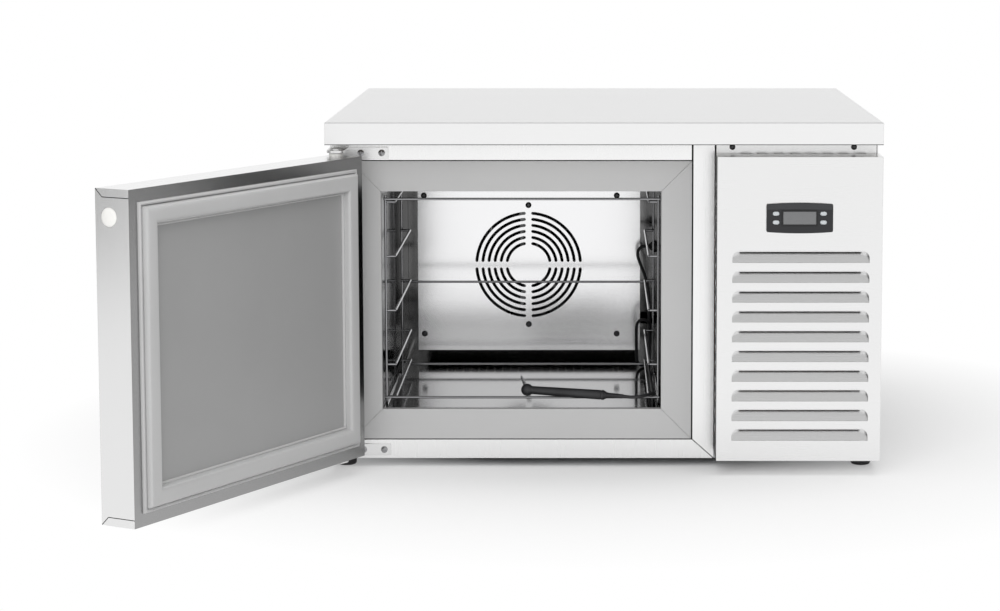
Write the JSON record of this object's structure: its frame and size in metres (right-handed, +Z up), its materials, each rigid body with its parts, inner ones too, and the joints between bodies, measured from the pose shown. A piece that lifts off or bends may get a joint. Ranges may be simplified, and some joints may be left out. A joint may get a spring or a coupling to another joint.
{
  "type": "countertop blast chiller",
  "caption": "Countertop blast chiller: insulated stainless cavity with a wire pan rack, core probe and side-hinged door, beside a louvred machine bay with a controller.",
  "frame": {"origin": "on the floor, under the middle of the worktop", "axes": "+X to the right seen from the front, +Y to the back, +Z up"},
  "size_m": [0.8623, 0.9828, 0.423],
  "materials": {
    "worktop_steel": "satin",
    "board": "matte",
    "body_steel": "satin",
    "foam": "matte",
    "liner_steel": "gloss",
    "frame_steel": "satin",
    "collar_steel": "satin",
    "black_rubber": "matte",
    "panel_steel": "satin",
    "dark_screws": "satin",
    "black_plastic": "satin",
    "display": "gloss",
    "pale_keys": "satin",
    "door_steel": "satin",
    "door_liner": "satin",
    "gasket": "satin",
    "white_plastic": "satin",
    "hinge_steel": "satin",
    "baffle_steel": "polished",
    "fan_plastic": "satin",
    "motor_metal": "satin",
    "fin_aluminium": "satin",
    "copper": "satin",
    "rack_wire": "polished",
    "needle_steel": "polished"
  },
  "bodies": {
    "cabinet": {"worktop": "worktop_steel", "worktop_core": "board", "left_side_panel": "body_steel", "right_side_panel": "body_steel", "base_pan": "body_steel", "divider_panel": "body_steel", "back_panel": "body_steel", "insulation": "foam", "cavity_liner": "liner_steel", "front_frame": "frame_steel", "mouth_collar": "collar_steel", "feet": "black_rubber", "grille_panel": "panel_steel", "panel_rail": "body_steel", "panel_screws": "dark_screws", "controller_body": "black_plastic", "controller_bezel": "black_plastic", "display_window": "display", "upper_hinge_bracket": "hinge_steel", "lower_hinge_bracket": "hinge_steel", "upper_hinge_pin": "hinge_steel", "lower_hinge_pin": "hinge_steel", "hinge_screws": "hinge_steel", "fan_baffle": "baffle_steel", "baffle_screws": "dark_screws", "evaporator_motor": "motor_metal", "motor_bracket": "body_steel", "evaporator_fins": "fin_aluminium", "evaporator_tubes": "copper", "wire_rack": "rack_wire", "probe_handle": "black_plastic", "probe_needle": "needle_steel", "lead_relief": "black_rubber", "probe_lead": "black_rubber", "lead_gland": "black_rubber", "compressor": "motor_metal", "compressor_mounts": "black_rubber", "condenser_fins": "fin_aluminium", "condenser_tubes": "copper", "condenser_shroud": "motor_metal", "condenser_motor": "motor_metal", "filter_drier": "copper", "copper_lines": "copper", "electrical_box": "white_plastic", "power_gland": "black_plastic"},
    "door": {"door_outer_pan": "door_steel", "door_insulation": "foam", "door_inner_panel": "door_liner", "door_gasket": "gasket", "door_plug": "white_plastic", "upper_door_bush": "white_plastic", "lower_door_bush": "white_plastic"},
    "evaporator_fan": {"evaporator_fan": "fan_plastic"},
    "condenser_fan": {"condenser_fan": "fan_plastic"},
    "key_upper_left": {"key_upper_left": "pale_keys"},
    "key_lower_left": {"key_lower_left": "pale_keys"},
    "key_upper_right": {"key_upper_right": "pale_keys"},
    "key_lower_right": {"key_lower_right": "pale_keys"}
  },
  "joints": [
    {"name": "door_hinge", "type": "hinge", "parent": "cabinet", "child": "door", "pos_m": [-0.317, -0.286, 0.2], "axis": [0, 0, 1], "range_deg": [-61, 119]},
    {"name": "evaporator_fan_spin", "type": "hinge", "parent": "cabinet", "child": "evaporator_fan", "pos_m": [-0.1, 0.151, 0.1955], "axis": [0, 1, 0], "continuous": true},
    {"name": "condenser_fan_spin", "type": "hinge", "parent": "cabinet", "child": "condenser_fan", "pos_m": [0.23, -0.16, 0.118], "axis": [0, 1, 0], "continuous": true},
    {"name": "key_upper_left_press", "type": "slide", "parent": "cabinet", "child": "key_upper_left", "axis": [0, 1, 0], "range_m": [0, 0.0008], "stiffness_N_per_m": 1200},
    {"name": "key_lower_left_press", "type": "slide", "parent": "cabinet", "child": "key_lower_left", "axis": [0, 1, 0], "range_m": [0, 0.0008], "stiffness_N_per_m": 1200},
    {"name": "key_upper_right_press", "type": "slide", "parent": "cabinet", "child": "key_upper_right", "axis": [0, 1, 0], "range_m": [0, 0.0008], "stiffness_N_per_m": 1200},
    {"name": "key_lower_right_press", "type": "slide", "parent": "cabinet", "child": "key_lower_right", "axis": [0, 1, 0], "range_m": [0, 0.0008], "stiffness_N_per_m": 1200}
  ]
}
